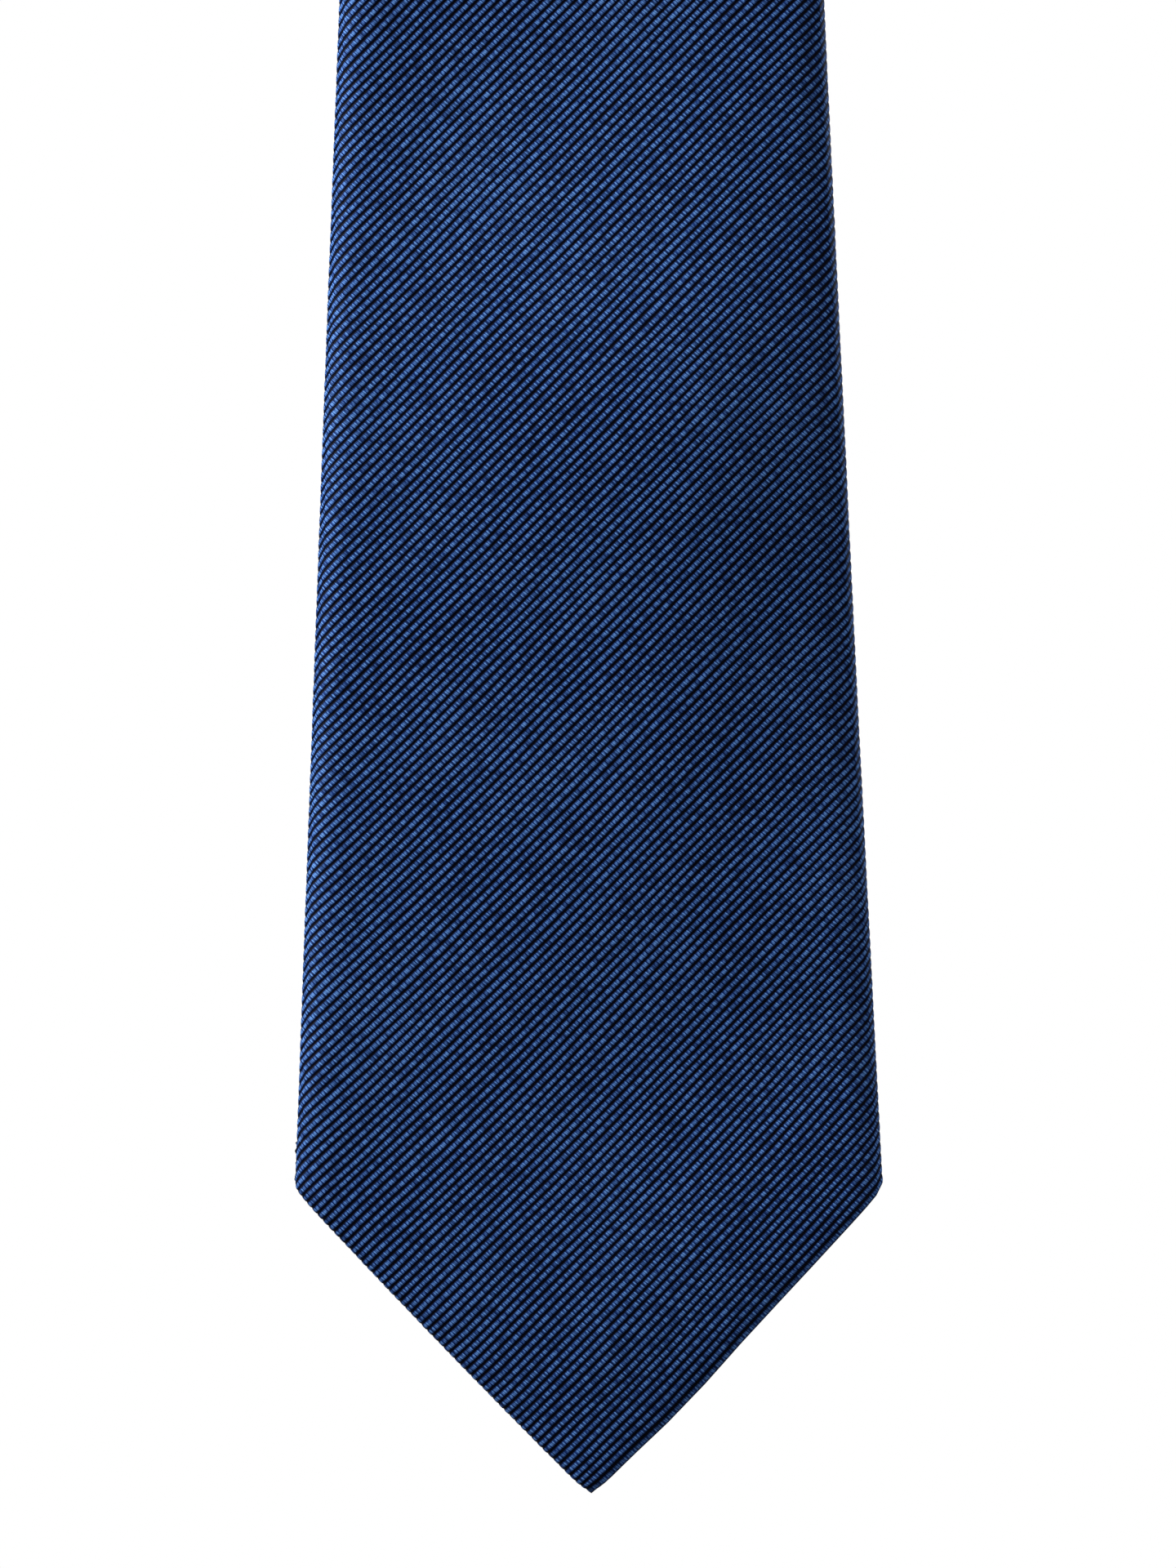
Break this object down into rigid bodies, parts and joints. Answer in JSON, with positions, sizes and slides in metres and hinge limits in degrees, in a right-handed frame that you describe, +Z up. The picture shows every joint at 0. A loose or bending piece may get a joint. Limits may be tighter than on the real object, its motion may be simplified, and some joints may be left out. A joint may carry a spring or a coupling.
{
  "type": "necktie",
  "caption": "Necktie hung over a round bar: folded silk tube with interlining, pointed wide blade, narrow tail, lined points, keeper loop and plain labels.",
  "frame": {"origin": "the axis of the round bar that the neck lies over, in the middle of the tie's width", "axes": "+Z up, against the way the tie hangs; +X along the bar, across the tie; the wide blade hangs on the -Y side with its face towards -Y, and the tail on the +Y side"},
  "size_m": [0.08, 0.0208, 0.8495],
  "materials": {
    "ribbed_silk": "satin ribbed weave",
    "wool_interlining": "matt brushed",
    "tipping_lining": "smooth satin",
    "sewing_thread": "satin",
    "woven_label": "woven satin",
    "care_tape": "smooth tape"
  },
  "bodies": {
    "neck": {"neck_shell": "ribbed_silk", "neck_interlining": "wool_interlining"},
    "front_blade": {"front_blade_shell": "ribbed_silk", "front_interlining": "wool_interlining", "front_slip_stitches": "sewing_thread", "front_seam_thread": "sewing_thread", "keeper_loop": "ribbed_silk", "keeper_stitches": "sewing_thread", "blank_label": "woven_label", "label_stitches": "sewing_thread"},
    "front_end": {"front_end_shell": "ribbed_silk", "front_end_interlining": "wool_interlining", "front_tipping": "tipping_lining", "front_hem_stitches": "sewing_thread", "front_bar_tack": "sewing_thread"},
    "tail_blade": {"tail_blade_shell": "ribbed_silk", "tail_interlining": "wool_interlining", "tail_slip_stitches": "sewing_thread", "tail_seam_thread": "sewing_thread", "care_label": "care_tape"},
    "tail_end": {"tail_end_shell": "ribbed_silk", "tail_end_interlining": "wool_interlining", "tail_tipping": "tipping_lining", "tail_hem_stitches": "sewing_thread", "tail_bar_tack": "sewing_thread"}
  },
  "joints": [
    {"name": "front_lift", "type": "hinge", "parent": "neck", "child": "front_blade", "pos_m": [0, -0.0082, -0.264], "axis": [-1, 0, 0], "range_deg": [0, 90]},
    {"name": "front_end_bend", "type": "hinge", "parent": "front_blade", "child": "front_end", "pos_m": [0, -0.0082, -0.715], "axis": [-1, 0, 0], "range_deg": [-90, 90]},
    {"name": "tail_lift", "type": "hinge", "parent": "neck", "child": "tail_blade", "pos_m": [0, 0.0082, -0.1], "axis": [1, 0, 0], "range_deg": [0, 90]},
    {"name": "tail_end_bend", "type": "hinge", "parent": "tail_blade", "child": "tail_end", "pos_m": [0, 0.0082, -0.54], "axis": [1, 0, 0], "range_deg": [0, 90]}
  ]
}
